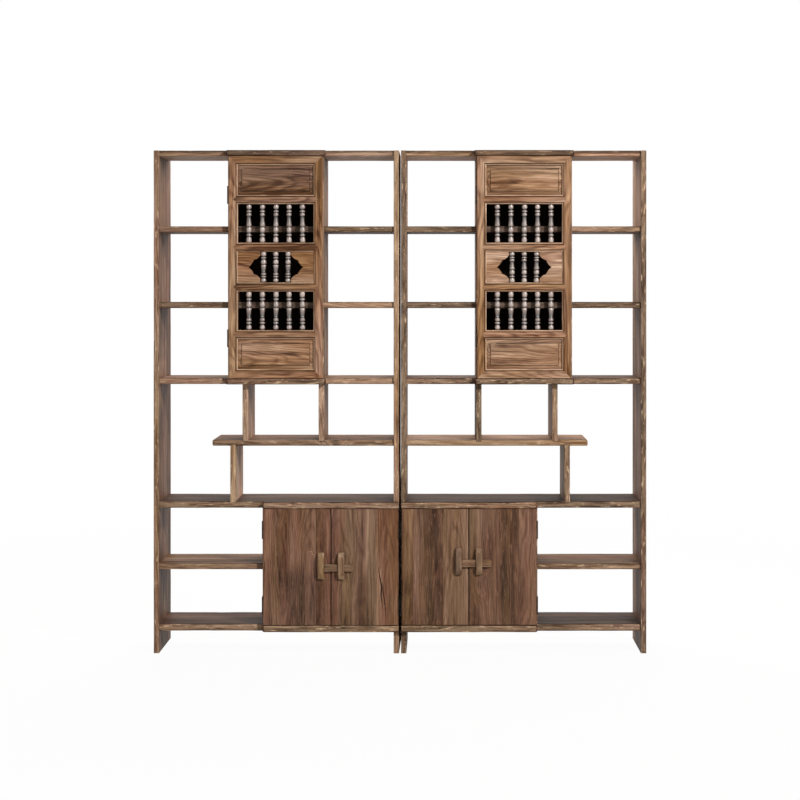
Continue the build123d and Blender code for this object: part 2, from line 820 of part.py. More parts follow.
bar_draw = 2 * latch_offset - post_width - peg_offset - peg_radius
print(f"unit height {unit_height:.1f}, front plane y {front:.2f}, hinge axis y {axis_y:.2f}")
print(f"bar travel from {-latched_travel:.1f} to {bar_draw:.1f}")
for side, unit in ((-1, "left_unit"), (1, "right_unit")):
    upper_x = min(across(side, cup_a), across(side, cup_d)) + axis_inset
    lower_x = sorted((across(side, base_a), across(side, unit_width)))
    print(f"{unit} hinge axes x {upper_x:.1f}, {lower_x[0] + axis_inset:.1f}, {lower_x[1] - axis_inset:.1f}")
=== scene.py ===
import math
import random
from functools import partial

import bmesh
import bpy
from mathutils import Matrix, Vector, noise


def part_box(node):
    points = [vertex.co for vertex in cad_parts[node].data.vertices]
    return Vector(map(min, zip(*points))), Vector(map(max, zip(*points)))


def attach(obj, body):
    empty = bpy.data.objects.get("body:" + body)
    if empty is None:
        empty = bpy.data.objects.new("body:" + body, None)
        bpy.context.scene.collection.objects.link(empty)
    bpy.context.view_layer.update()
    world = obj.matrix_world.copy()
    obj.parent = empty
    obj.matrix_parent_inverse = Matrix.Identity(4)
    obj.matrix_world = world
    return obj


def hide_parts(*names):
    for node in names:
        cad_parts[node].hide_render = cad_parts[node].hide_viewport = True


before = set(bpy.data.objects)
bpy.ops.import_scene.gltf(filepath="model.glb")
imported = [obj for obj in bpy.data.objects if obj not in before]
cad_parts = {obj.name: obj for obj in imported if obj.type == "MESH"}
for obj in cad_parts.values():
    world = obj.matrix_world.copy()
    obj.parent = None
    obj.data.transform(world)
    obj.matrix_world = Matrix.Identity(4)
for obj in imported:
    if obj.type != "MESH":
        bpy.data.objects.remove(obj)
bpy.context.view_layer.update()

# ---- Studio ----
# A pale floor with the cabinets' soft shadow, a white surround, and broad lamps ahead and
# above. The camera stands 8 m away at eye height, right of the middle, and looks level.
scene = bpy.context.scene
scene.view_settings.view_transform = "Standard"


def new_object(name, data):
    """An object in the scene from a mesh, lamp or camera."""
    made = bpy.data.objects.new(name, data)
    scene.collection.objects.link(made)
    return made


boards_front = -0.1535
camera_side, camera_distance, eye_height = 0.163, 8.0, 1.481
frame_pixels = 800
focal_pixels = 1963
vanishing_pixel = (440, 290)
camera_data = bpy.data.cameras.new("camera")
camera_data.sensor_width = 36
camera_data.lens = focal_pixels * camera_data.sensor_width / frame_pixels
camera_data.shift_x = (frame_pixels / 2 - vanishing_pixel[0]) / frame_pixels
camera_data.shift_y = (vanishing_pixel[1] - frame_pixels / 2) / frame_pixels
camera_data.clip_end = 60
camera = new_object("camera", camera_data)
camera.location = (camera_side, boards_front - camera_distance, eye_height)
camera.rotation_euler = (math.radians(90), 0, 0)
scene.camera = camera


def linear(hex_colour):
    """A linear RGBA colour from an sRGB hex value."""
    channels = [int(hex_colour[place:place + 2], 16) / 255 for place in (1, 3, 5)]
    return tuple(c / 12.92 if c <= 0.04045 else ((c + 0.055) / 1.055) ** 2.4 for c in channels) + (1.0,)


def add_node(tree, kind, settings=None, inputs=None, stops=()):
    """Adds a node with its settings, inputs and ramp colours.

    An input is a value, the socket that feeds it, or the node whose first output does.
    """
    node = tree.nodes.new(kind)
    for name, value in (settings or {}).items():
        setattr(node, name, value)
    for key, value in (inputs or {}).items():
        if isinstance(value, bpy.types.Node):
            value = value.outputs[0]
        if isinstance(value, bpy.types.NodeSocket):
            tree.links.new(value, node.inputs[key])
        else:
            node.inputs[key].default_value = value
    for index, (place, shade) in enumerate(stops):
        if index == len(node.color_ramp.elements):
            node.color_ramp.elements.new(1.0)
        node.color_ramp.elements[index].position = place
        node.color_ramp.elements[index].color = linear(shade)
    return node


def new_material(name):
    """A material with no nodes yet, and what puts a node in it."""
    material = bpy.data.materials.new(name)
    material.use_nodes = True
    material.node_tree.nodes.clear()
    return material, partial(add_node, material.node_tree)


maths, vector_maths, map_range = "ShaderNodeMath", "ShaderNodeVectorMath", "ShaderNodeMapRange"
multiply, greatest = {"operation": "MULTIPLY"}, {"operation": "MAXIMUM"}


def plainly_seen(put):
    """1 for the camera's rays and those that gloss or glass passes on, and 0 for the rest."""
    rays = put("ShaderNodeLightPath").outputs
    passed_on = put(maths, greatest, {0: rays["Is Glossy Ray"], 1: rays["Is Transmission Ray"]})
    return put(maths, greatest, {0: rays["Is Camera Ray"], 1: passed_on})


# A matt white floor, which keeps the soft shadow and fades to pure white away from the cabinets
white = (1, 1, 1, 1)
floor_half = 14.0
near_reach, far_reach = 1.5, 5.0
near_share, far_share = 0.965, 0.998
floor_material, put = new_material("matt_white_floor")
plain = put("ShaderNodeBsdfDiffuse", inputs={"Color": linear("#c9c7c4")})
bright = put("ShaderNodeEmission", inputs={"Color": white, "Strength": 1.0})
place = put("ShaderNodeTexCoord").outputs["Object"]
away = put(vector_maths, {"operation": "LENGTH"}, {0: place}).outputs["Value"]
# sockets 1 and 2 of a Map Range are the ends of what it reads, and 3 and 4 of what it gives
fade = put(map_range, {"interpolation_type": "SMOOTHSTEP"}, {
    "Value": away, 1: near_reach, 2: far_reach, 3: near_share, 4: far_share})
share = put(maths, multiply, {0: plainly_seen(put), 1: fade})
shown = put("ShaderNodeMixShader", inputs={0: share, 1: plain, 2: bright})
put("ShaderNodeOutputMaterial", inputs={"Surface": shown})
corners = [(x * floor_half, y * floor_half, 0) for x, y in ((-1, -1), (1, -1), (1, 1), (-1, 1))]
floor_mesh = bpy.data.meshes.new("floor")
floor_mesh.from_pydata(corners, [], [(0, 1, 2, 3)])
floor_mesh.materials.append(floor_material)
floor = new_object("floor", floor_mesh)

ambient_strength = 0.24
world = bpy.data.worlds.new("white_surround")
scene.world = world
world.use_nodes = True
world.node_tree.nodes.clear()
put = partial(add_node, world.node_tree)
ambient = put("ShaderNodeBackground", inputs={"Color": white, "Strength": ambient_strength})
backdrop = put("ShaderNodeBackground", inputs={"Color": white, "Strength": 1.0})
shown = put("ShaderNodeMixShader", inputs={0: plainly_seen(put), 1: ambient, 2: backdrop})
put("ShaderNodeOutputWorld", inputs={"Surface": shown})

# name, place, point aimed at, size, watts
lamps = [
    ("key_lamp", (4.2, -5.4, 4.9), (0, 0, 1.1), 0.5, 580),
    ("fill_lamp", (-3.6, -4.8, 1.6), (0, 0, 0.9), 3.0, 12),
    ("back_lamp", (0.0, 2.6, 3.3), (0, 0, 2.0), 2.5, 290),
]
for name, place, aim, size, watts in lamps:
    lamp_data = bpy.data.lights.new(name, "AREA")
    lamp_data.energy = watts
    lamp_data.size = size
    lamp = new_object(name, lamp_data)
    lamp.location = place
    lamp.rotation_euler = (Vector(aim) - Vector(place)).to_track_quat("-Z", "Y").to_euler()
    lamp.visible_camera = False
    lamp.visible_glossy = name != "back_lamp"

# ---- Side panels ----
# Four full-height elm boards carry each pair of ends and run to the floor. The old elm is sawn,
# planed and waxed: long grain with flames, dark streaks, and arrises rubbed pale and uneven.
add, subtract = {"operation": "ADD"}, {"operation": "SUBTRACT"}
multiply_add = {"operation": "MULTIPLY_ADD"}
multiply_within_one = {"operation": "MULTIPLY", "use_clamp": True}
# a colour Mix takes its factor at socket 0 and its colours at 6 and 7, and gives output 2
colour_mix = {"data_type": "RGBA"}


def elm(name, shades, wear_and_highlight_colour, crack_and_shade_colour, contrast, roughness=0.58, hue_swing=0.011, saturation=1.12,
        streaks=1.0, lines=1.0, patches=1.0):
    """Waxed elm, read from each board's own grain coordinates: rings, streaks, fibres and checks, with wear,
    painted highlight and painted shade.
    """
    material, put = new_material(name)
    grain = put("ShaderNodeAttribute", {"attribute_name": "grain"}).outputs["Vector"]
    tone, wear, grime = (
        put("ShaderNodeAttribute", {"attribute_name": layer}).outputs["Fac"]
        for layer in ("tone", "wear", "grime"))

    def stretched(place, waves, detail, rough=0.55, shift=(0, 0, 0)):
        """Noise with its own number of waves a metre along, across and through the board."""
        moved = put(vector_maths, multiply_add, {0: place, 1: waves, 2: shift})
        return put("ShaderNodeTexNoise", inputs={
            "Vector": moved, "Scale": 1.0, "Detail": detail, "Roughness": rough})

    # A few knots run through each board: 16 in 100 of its cells, of 620 by 220 mm, hold one. Its
    # dark core is 5 mm in radius, and it bends the grain 40 mm out, and twice as far along
    knot_cells = Vector((1.6, 4.6, 0.5))
    knot_chance, knot_squash = 0.16, 0.42
    knot_core, knot_rim, knot_reach = 0.003, 0.008, 0.040
    knot_place = put(vector_maths, multiply, {0: grain, 1: knot_cells})
    cells = put("ShaderNodeTexVoronoi", inputs={"Vector": knot_place, "Scale": 1.0})
    away = put(vector_maths, subtract, {0: knot_place, 1: cells.outputs["Position"]})
    away = put(vector_maths, multiply, {0: away, 1: (knot_squash / knot_cells.x, 1 / knot_cells.y, 0)})
    distance = put(vector_maths, {"operation": "LENGTH"}, {0: away}).outputs["Value"]
    chance = put("ShaderNodeSeparateColor", inputs={"Color": cells.outputs["Color"]})
    chosen = put(maths, {"operation": "GREATER_THAN"}, {0: chance, 1: 1 - knot_chance})
    pull = put(map_range, {"interpolation_type": "SMOOTHERSTEP"}, {
        "Value": distance, 1: 0.0, 2: knot_reach, 3: 1.0, 4: 0.0})
    pull = put(maths, multiply, {0: pull, 1: chosen})
    core = put(map_range, {"interpolation_type": "SMOOTHSTEP"}, {
        "Value": distance, 1: knot_core, 2: knot_rim, 3: 1.0, 4: 0.0})
    core = put(maths, multiply, {0: core, 1: chosen})

    # Growth rings round a pith that wanders along the board. They are drawn 4.6 mm apart, coarse
    # enough to show, and swell round each knot
    ring_gap, pith_sway, knot_swell = 0.0046, 0.06, 0.014
    sway = stretched(grain, (1.3, 4, 4), 3.0).outputs["Color"]
    centred = put(vector_maths, subtract, {0: sway, 1: (0.5, 0.5, 0.5)})
    swayed = put(vector_maths, {"operation": "SCALE"}, {0: centred, "Scale": pith_sway})
    bent = put(vector_maths, add, {0: grain, 1: swayed})
    across = put(vector_maths, multiply, {0: bent, 1: (0, 1, 1)})
    radius = put(vector_maths, {"operation": "LENGTH"}, {0: across}).outputs["Value"]
    radius = put(maths, multiply_add, {0: pull, 1: knot_swell, 2: radius})
    turn = put(maths, multiply, {0: radius, 1: 2 * math.pi / ring_gap})
    wave = put(maths, {"operation": "SINE"}, {0: turn})
    wave = put(maths, multiply_add, {0: wave, 1: 0.5, 2: 0.5})
    late_wood = put(maths, {"operation": "POWER"}, {0: wave, 1: 2.0})

    # Streaks 17 mm wide, threads 6 mm wide and fibres follow the bends of the rings. The fibres
    # are drawn 2 mm wide, because real ones are too fine to show. Broad patches are 125 mm wide
    push = put(maths, multiply, {0: pull, 1: 3.0})
    push = put("ShaderNodeCombineXYZ", inputs={"Y": push})
    streak = stretched(bent, (1.9, 58, 58), 4.0, 0.62, push)
    thread = stretched(bent, (7, 160, 160), 3.0, 0.6, push)
    fibre = stretched(bent, (16, 460, 460), 2.0, 0.6, push)
    broad = stretched(grain, (1, 8, 8), 3.0)

    # How far each of these moves the wood from its middle shade, where 1 is all the shades
    middle_shade, core_weight = 0.46, 0.42
    rings = put(maths, subtract, {0: 0.38, 1: late_wood})
    mixed = put(maths, multiply, {0: rings, 1: 0.20 * contrast * lines})
    weights = (
        (streak, 1.05 * contrast * streaks),
        (thread, 0.75 * contrast * lines),
        (fibre, 0.40 * contrast * lines),
        (broad, 0.80 * contrast * patches),
        (tone, 0.42),
    )
    for value, weight in weights:
        part = put(maths, subtract, {0: value, 1: 0.5})
        mixed = put(maths, multiply_add, {0: part, 1: weight, 2: mixed})
    mixed = put(maths, multiply_add, {0: core, 1: -core_weight, 2: mixed})
    factor = put(maths, {"operation": "ADD", "use_clamp": True}, {0: mixed, 1: middle_shade})
    colour = put("ShaderNodeValToRGB", inputs={"Fac": factor}, stops=[
        (index / (len(shades) - 1), shade) for index, shade in enumerate(shades)])

    # Duller patches 110 mm wide where the wax has gone, and a drift of hue and depth of colour
    dull = stretched(grain, (2.6, 9, 9), 4.0)
    dull_share = put(map_range, inputs={"Value": dull, 1: 0.48, 2: 0.72, 3: 0.0, 4: 0.42})
    dulled = put("ShaderNodeMix", colour_mix, {0: dull_share, 6: colour, 7: linear(shades[2])})
    drift = stretched(grain, (0.7, 11, 11), 2.0)
    hue = put(map_range, inputs={
        "Value": drift, 1: 0.35, 2: 0.65, 3: 0.5 + hue_swing, 4: 0.5 - hue_swing})
    depth = put(map_range, inputs={
        "Value": broad, 1: 0.35, 2: 0.65, 3: saturation * 1.12, 4: saturation * 0.88})
    waxed = put("ShaderNodeHueSaturation", inputs={
        "Hue": hue, "Saturation": depth, "Color": dulled.outputs[2]})

    # Arrises rubbed pale in runs of 110 mm, with dark knocks between the runs. The same pale colour is
    # painted highlight on moulded bevels and the latches' edges
    rub = stretched(grain, (9, 80, 80), 5.0, 0.66)
    rub_share = put(map_range, inputs={"Value": rub, 1: 0.40, 2: 0.62, 3: 0.08, 4: 1.0})
    knock_share = put(map_range, inputs={"Value": rub, 1: 0.38, 2: 0.25, 3: 0.0, 4: 0.40})
    knocked = put(maths, multiply_within_one, {0: wear, 1: 1.6})
    knock_share = put(maths, multiply, {0: knocked, 1: knock_share})
    wear_and_highlight_share = put(maths, multiply_within_one, {0: wear, 1: rub_share})
    wear_and_highlight_share = put(maths, multiply, {0: wear_and_highlight_share, 1: 0.88})
    # Dry flecks, at most 40 by 7 mm, where the surface has lifted
    fleck = stretched(grain, (24, 150, 150), 3.0, 0.6)
    fleck_share = put(map_range, inputs={"Value": fleck, 1: 0.56, 2: 0.66, 3: 0.0, 4: 0.85})
    lifted = put(maths, multiply_within_one, {0: wear, 1: 2.4})
    fleck_share = put(maths, multiply, {0: lifted, 1: fleck_share})
    wear_and_highlight_share = put(maths, greatest, {0: wear_and_highlight_share, 1: fleck_share})
    rubbed_and_highlit = put("ShaderNodeMix", colour_mix, {0: wear_and_highlight_share, 6: waxed, 7: linear(wear_and_highlight_colour)})

    # Drying checks in a few places: dark lines along the grain, drawn about 2 mm wide to show.
    # Painted shade darkens the quirks, the steps of the panels, the splits, the doors' edges and the tops of
    # the boards
    check = stretched(grain, (3.2, 150, 150), 2.0, 0.5)
    where = stretched(grain, (2.2, 12, 12), 2.0)
    check_line = put(map_range, inputs={"Value": check, 1: 0.66, 2: 0.74, 3: 0.0, 4: 1.0})
    check_place = put(map_range, inputs={"Value": where, 1: 0.50, 2: 0.62, 3: 0.0, 4: 0.85})
    check_share = put(maths, multiply, {0: check_line, 1: check_place})
    # painted shade, drawn in the crack colour
    painted_shade_share = put(maths, multiply, {0: grime, 1: 0.85})
    dark_share = put(maths, greatest, {0: check_share, 1: painted_shade_share})
    dark_share = put(maths, greatest, {0: dark_share, 1: knock_share})
    finished = put("ShaderNodeMix", colour_mix, {0: dark_share, 6: rubbed_and_highlit.outputs[2], 7: linear(crack_and_shade_colour)})

    # Fibres stand proud, late wood and checks lie low, and pale streaks are better polished
    late_relief = put(maths, multiply, {0: late_wood, 1: -0.25})
    relief = put(maths, multiply_add, {0: fibre, 1: 0.5, 2: late_relief})
    relief = put(maths, multiply_add, {0: check_share, 1: -1.2, 2: relief})
    bump = put("ShaderNodeBump", inputs={"Strength": 0.55, "Distance": 0.0012, "Height": relief})
    polish = put(map_range, inputs={
        "Value": streak, 1: 0.3, 2: 0.7, 3: roughness + 0.1, 4: roughness - 0.08})
    wood = put("ShaderNodeBsdfPrincipled", inputs={
        "Base Color": finished.outputs[2], "Roughness": polish, "Specular IOR Level": 0.14, "Normal": bump})
    put("ShaderNodeOutputMaterial", inputs={"Surface": wood})
    return material


# Waxed old elm, planed: medium brown between dark streaks and dry pale fibres
carcass_elm = elm(
    "waxed_old_elm", ("#38271d", "#5f4636", "#826552", "#a3846e", "#c6a78f"),
    wear_and_highlight_colour="#d8b896", crack_and_shade_colour="#24160f", contrast=1.25,
)


flat_angle = math.radians(0.8)


def merged_copy(node):
    """A CAD node's mesh with its loose triangles joined and its flat faces made whole."""
    shape = bmesh.new()
    shape.from_mesh(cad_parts[node].data)
    bmesh.ops.remove_doubles(shape, verts=shape.verts, dist=2e-6)
    bmesh.ops.dissolve_limit(shape, angle_limit=flat_angle, verts=shape.verts, edges=shape.edges)
    return shape


def finished_mesh(name, shape):
    """The mesh of a shape that needs no more work."""
    mesh = bpy.data.meshes.new(name)
    shape.to_mesh(mesh)
    shape.free()
    return mesh


def connected_boards(shape, order="x"):
    """The separate boards in a mesh, in order along one axis."""
    boards = []
    found = set()
    for start in shape.verts:
        if start in found:
            continue
        found.add(start)
        board = [start]
        # the board grows while it is walked, and keeps one order, so that its middle is the same each run
        for vertex in board:
            for edge in vertex.link_edges:
                other = edge.other_vert(vertex)
                if other not in found:
                    found.add(other)
                    board.append(other)
        boards.append(board)

    first = "xyz".index(order)

    def place(board):
        """The board's lowest corner, the chosen axis first."""
        low = [round(min(v.co[axis] for v in board), 4) for axis in range(3)]
        return low[first], low
    return sorted(boards, key=place)


def smallest_side(face):
    """The shortest side of a flat face's own bounding box, found along the axes."""
    reaches = [[v.co[axis] for v in face.verts] for axis in range(3)]
    return sorted(max(reach) - min(reach) for reach in reaches)[1]


housed_depth = 0.0065
arris_angle = math.radians(40)
curve_angles = (0.01, 0.6)


def on_curve(face):
    """True for a facet of a curved surface, which turns only a little from its neighbour."""
    turns = [edge.calc_face_angle(0) for edge in face.edges if len(edge.link_faces) == 2]
    return any(curve_angles[0] < turn < curve_angles[1] for turn in turns)


def outer_arrises(shape, least, keep, sharp):
    """Sharp outward edges of the boards, leaving out the mouths of their housings."""
    found = []
    for edge in shape.edges:
        if len(edge.link_faces) != 2 or not edge.is_convex:
            continue
        if edge.calc_face_angle(0) < sharp or (keep and not keep(edge)):
            continue
        if all(smallest_side(face) > least or on_curve(face) for face in edge.link_faces):
            found.append(edge)
    return found


slice_range = (0.034, 0.066)


def slice_along(shape, axis, seed):
    """Cuts the boards across at uneven steps, so that their arrises can wander."""
    steps = random.Random(seed)
    low = min(v.co[axis] for v in shape.verts)
    high = max(v.co[axis] for v in shape.verts)
    place = low + steps.uniform(*slice_range)
    normal = Vector((0, 0, 0))
    normal[axis] = 1
    while place < high - slice_range[0]:
        point = normal * place
        geometry = list(shape.verts) + list(shape.edges) + list(shape.faces)
        bmesh.ops.bisect_plane(shape, geom=geometry, dist=1e-6, plane_co=point, plane_no=normal)
        place += steps.uniform(*slice_range)


# waves a metre of the wear on an arris: dents 60 mm apart, the edge of the rubbed strip 80 mm,
# and its deeper hollows 220 mm
dent_waves, creep_waves, hollow_waves = 17.0, 13.0, 4.5
dent_level, creep_level, hollow_depth = 0.35, 0.25, 2.2
creep_shift, hollow_shift = Vector((3, 5, 7)), Vector((9, 2, 4))
# a strip reaches this share of the way to the board's middle at most, and a sliver keeps still
creep_limit, least_way = 0.6, 0.001


def wander_arrises(shape, arris_faces, axis, wander):
    """Dents the rounded arrises and lets their rubbed strips widen and narrow over the flat faces."""
    arris_vertices = {v for face in arris_faces for v in face.verts}
    for vertex in arris_vertices:
        if all(face in arris_faces for face in vertex.link_faces):
            dent = max(0.0, noise.noise(vertex.co * dent_waves) + dent_level) * wander
            vertex.co -= vertex.normal * dent
    centres = {}
    for board in connected_boards(shape):
        middle = sum((v.co for v in board), Vector()) / len(board)
        centres.update((v, middle) for v in board)
    for vertex in arris_vertices:
        flat_faces = [face for face in vertex.link_faces if face not in arris_faces]
        flats = {tuple(round(c, 2) for c in face.normal) for face in flat_faces}
        if len(flats) != 1:
            continue
        normal = Vector(flats.pop())
        inward = centres[vertex] - vertex.co
        inward[axis] = 0
        inward -= normal * inward.dot(normal)
        if inward.length > least_way:
            creep = max(0.0, noise.noise(vertex.co * creep_waves + creep_shift) + creep_level) * wander
            hollow = max(0.0, noise.noise(vertex.co * hollow_waves + hollow_shift))
            creep += hollow * hollow_depth * wander
            vertex.co += inward.normalized() * min(creep, creep_limit * inward.length)


# how far a normal leans to the front on a bevel, and at least on a face square to it
bevel_leans, square_lean = (0.25, 0.95), 0.9
# a moulding's bevels are drawn this pale, as painted highlight
bevel_highlight = 0.8
# a moulding's steps are this narrow, and lie this far behind the front; painted shade darkens them
moulding_step, sunk = 0.0042, 0.0004


def mark_wear_and_shade(shape, arris_faces, along, arris_wear_and_highlight, arris_shade, edge_wear, top_shade, moulded):
    """Writes on each face how far it is rubbed and painted pale, and how far painted shade darkens it."""
    wear = shape.faces.layers.float.new("wear")
    grime = shape.faces.layers.float.new("grime")
    front = min(v.co.y for v in shape.verts)
    for face in shape.faces:
        if face in arris_faces:
            face[wear] = arris_wear_and_highlight
            face[grime] = arris_shade
        # the bevels of a moulding: painted highlight
        elif moulded and bevel_leans[0] < abs(face.normal.y) < bevel_leans[1]:
            face[wear] = bevel_highlight
        # the faces of a moulding's quirks and steps: painted shade
        elif moulded and smallest_side(face) < moulding_step and face.calc_center_median().y > front + sunk:
            face[grime] = 1.0
        elif abs(face.normal.y) > square_lean:
            face[wear] = edge_wear
        # the tops of boards laid along X: painted shade
        elif along == "X" and face.normal.z > square_lean:
            face[grime] = top_shade


# a wavering front swings in about 140 mm, and the swing dies out 50 mm behind it
front_waves, front_wave_reach = 7, 0.05


def cut_from_logs(shape, name, along, order, tones, front_wave):
    """Gives each board grain coordinates in a log of its own and a tone, and sets its front wavering."""
    axis = "XYZ".index(along)
    grain = shape.verts.layers.float_vector.new("grain")
    tone = shape.verts.layers.float.new("tone")
    for index, board in enumerate(connected_boards(shape, order)):
        log = random.Random(f"{name} {index}")
        low = [min(v.co[a] for v in board) for a in range(3)]
        high = [max(v.co[a] for v in board) for a in range(3)]
        thin, wide = sorted((a for a in range(3) if a != axis), key=lambda a: high[a] - low[a])
        middle = (low[wide] + high[wide]) / 2
        # where in the log the board begins, where its pith lies, and how it leans
        start = log.uniform(0, 40)
        pith_depth = log.uniform(0.03, 0.10)
        pith_side = log.uniform(-0.35, 0.35) * (high[wide] - low[wide])
        lean = log.uniform(-0.045, 0.045)
        shade = tones[index] if tones else log.uniform(-0.05, 0.65)
        for vertex in board:
            run = vertex.co[axis] - low[axis]
            vertex[grain] = Vector((start + run, vertex.co[wide] - middle + pith_side,
                                    vertex.co[thin] - low[thin] + pith_depth + lean * run))
            vertex[tone] = shade
            if along == "X" and front_wave:
                ahead = max(0.0, 1 - (vertex.co.y - low[1]) / front_wave_reach)
                wave = noise.noise(Vector((vertex.co.x * front_waves, index * 3.1, low[2] * 5)))
                vertex.co.y += ahead * abs(wave) * front_wave


def worn_wood(name, shape, body, node, material, along, round_off, tones, wander=0.0009,
              least=housed_depth, keep=None, sharp=arris_angle, order="x", moulded=False,
              edge_wear=0.15, arris_wear_and_highlight=1.0, arris_shade=0.0, top_shade=0.22, front_wave=0.0008):
    """Finishes the boards of a node: worn arrises, painted shade and highlight, a slightly uneven front, and
    grain for each.
    """
    axis = "XYZ".index(along)
    for edge in outer_arrises(shape, least, keep, sharp):
        edge.seam = True
    slice_along(shape, axis, name)
    edges = [edge for edge in shape.edges if edge.seam]
    rounded = bmesh.ops.bevel(shape, geom=edges, offset=round_off, segments=2, profile=0.62,
                              affect="EDGES", clamp_overlap=True)
    arris_faces = set(rounded["faces"])
    shape.normal_update()
    if wander:
        wander_arrises(shape, arris_faces, axis, wander)
    mark_wear_and_shade(shape, arris_faces, along, arris_wear_and_highlight, arris_shade, edge_wear, top_shade, moulded)
    cut_from_logs(shape, name, along, order, tones, front_wave)
    mesh = finished_mesh(name, shape)
    mesh.materials.append(material)
    piece = new_object(name, mesh)
    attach(piece, body)
    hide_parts(node)
    return piece


def within_one(value):
    """A value kept from 0 to 1."""
    return min(1.0, max(0.0, value))


units = ("left_unit", "right_unit")
side_tones = {"left_unit": (0.36, 0.70), "right_unit": (-0.80, -0.75)}
# the faces behind the front arris carry painted light for how the lamps fall on each unit's sides,
# and more painted light towards the head, from a height of 1.15 m and fully 0.75 m higher
front_band = 0.002
painted_side_light = {"left_unit": -0.60, "right_unit": 0.84}
painted_head_light = {"left_unit": 0.45, "right_unit": 0.85}
head_light_foot, head_light_rise = 1.15, 0.75
# the back of the left unit's inner board has cupped towards its neighbour, below 0.75 m
cup, cup_start, cup_head, cup_fade = 0.0022, 0.10, 0.75, 0.15
facing_neighbour = -0.0048
for unit in units:
    for panel, tone in zip(("outer_side", "inner_side"), side_tones[unit]):
        node = f"{unit}_{panel}"
        piece = worn_wood(f"{node}_panel", merged_copy(node), "carcass", node, carcass_elm,
                          "Z", round_off=0.0026, wander=0.0030, edge_wear=0.34, tones=[tone])
        front = min(vertex.co.y for vertex in piece.data.vertices)
        for vertex, given in zip(piece.data.vertices, piece.data.attributes["tone"].data):
            # painted light on the faces behind the front
            if vertex.co.y > front + front_band:
                head_lit = within_one((vertex.co.z - head_light_foot) / head_light_rise)
                given.value += painted_side_light[unit] + painted_head_light[unit] * head_lit
            if node == "left_unit_inner_side" and vertex.co.y > cup_start and vertex.co.x > facing_neighbour:
                vertex.co.x += cup * within_one((cup_head - vertex.co.z) / cup_fade)

# ---- Top, middle, counter and bottom boards ----
# Full-width elm boards housed in the side panels. Each steps forward into a lip over or under
# the doors, sawn in one piece with the board.
board_tones = {
    "left_unit": {"top_board": -0.60, "middle_board": 0.60, "counter_board": -0.25, "bottom_board": 0.35},
    "right_unit": {"top_board": -0.95, "middle_board": -0.20, "counter_board": -0.85, "bottom_board": -0.25},
}
# how much paler the lip is than the rest of its board, ahead of where it leaves it. The middle boards'
# darker lips are partly painted shadow of the door and partly old dirt
lip_rise = {
    "left_unit": {"top_board": -0.30, "middle_board": -0.95, "counter_board": 0.35, "bottom_board": -0.30},
    "right_unit": {"top_board": 0.20, "middle_board": -0.60, "counter_board": 0.90, "bottom_board": 0.0},
}
lip_front = -0.160
# the top board's underside is painted paler than its top: painted light from below
pale_below = 2.038
painted_underside_light = {"left_unit": 1.70, "right_unit": 2.40}
# the tops of the boards below eye height take more painted shade
more_shaded_tops = ("counter_board", "bottom_board")
for unit in units:
    for board, tone in board_tones[unit].items():
        node = f"{unit}_{board}"
        thin_edged = board == "top_board"
        piece = worn_wood(f"{node}_plank", merged_copy(node), "carcass", node, carcass_elm,
                          "X", round_off=0.0024 if thin_edged else 0.0046, wander=0.0052,
                          edge_wear=0.15 if thin_edged else 0.36, front_wave=0.0024,
                          top_shade=0.85 if board in more_shaded_tops else 0.45, tones=[tone])
        for vertex, given in zip(piece.data.vertices, piece.data.attributes["tone"].data):
            if vertex.co.y < lip_front:
                given.value += lip_rise[unit][board]
            # painted light on the top board's underside
            elif board == "top_board" and vertex.co.z < pale_below:
                given.value += painted_underside_light[unit]

# ---- Shelves ----
# Short elm boards housed between the uprights, and the long stepped shelf whose outer end
# hangs free past its post.
shelf_tones = {
    "left_unit_upper_shelves": (-0.22, 0.23, 0.77, -0.60),
    "right_unit_upper_shelves": (-1.0, -0.93, -0.60, 0.12),
    "right_unit_stepped_shelf": (0.85,),
}
for unit in units:
    for board in ("upper_shelves", "low_shelf", "stepped_shelf"):
        node = f"{unit}_{board}"
        # their tops take painted shade
        worn_wood(f"{node}_boards", merged_copy(node), "carcass", node, carcass_elm, "X",
                  round_off=0.0040, wander=0.0042, front_wave=0.0038, top_shade=0.32, edge_wear=0.28,
                  tones=shelf_tones.get(node))

# ---- Uprights between the boards ----
# The upper cupboard's walls, the dividers under it, the short post and the base cupboard's wall.
# All are elm boards that stand in housings, with upright grain and well rubbed fronts.
upright_tones = {"right_unit_dividers": (-1.0, 0.10), "left_unit_shelf_post": (1.0,)}
for unit in units:
    for board in ("cupboard_walls", "dividers", "shelf_post", "base_wall"):
        node = f"{unit}_{board}"
        worn_wood(f"{node}_boards", merged_copy(node), "carcass", node, carcass_elm, "Z",
                  round_off=0.0020, wander=0.0024, edge_wear=0.40, tones=upright_tones.get(node))

# ---- Cupboard insides ----
# Thin elm panels in grooves close the two cupboards of each unit, and two shelves cross the upper
# one. Their nearly black colour is painted shade for the dark inside of the cupboards.
# Nearly black elm: painted shade, with the shelves' fronts left paler
cupboard_shade_elm = elm(
    "cupboard_shade_elm", ("#0d0806", "#1d140f", "#302219", "#47352a", "#5f4a3d"),
    wear_and_highlight_colour="#6c5a4e", crack_and_shade_colour="#060403", contrast=0.8, roughness=0.7,
)
for unit in units:
    for board, along in (("cupboard_back", "Z"), ("base_back", "Z"), ("cupboard_shelves", "X")):
        node = f"{unit}_{board}"
        shelf = board == "cupboard_shelves"
        worn_wood(f"{node}_boards", merged_copy(node), "carcass", node, cupboard_shade_elm, along,
                  round_off=0.0008, wander=0.0, edge_wear=1.0 if shelf else 0.0,
                  tones=[0.8, 0.8] if shelf else [0.1])

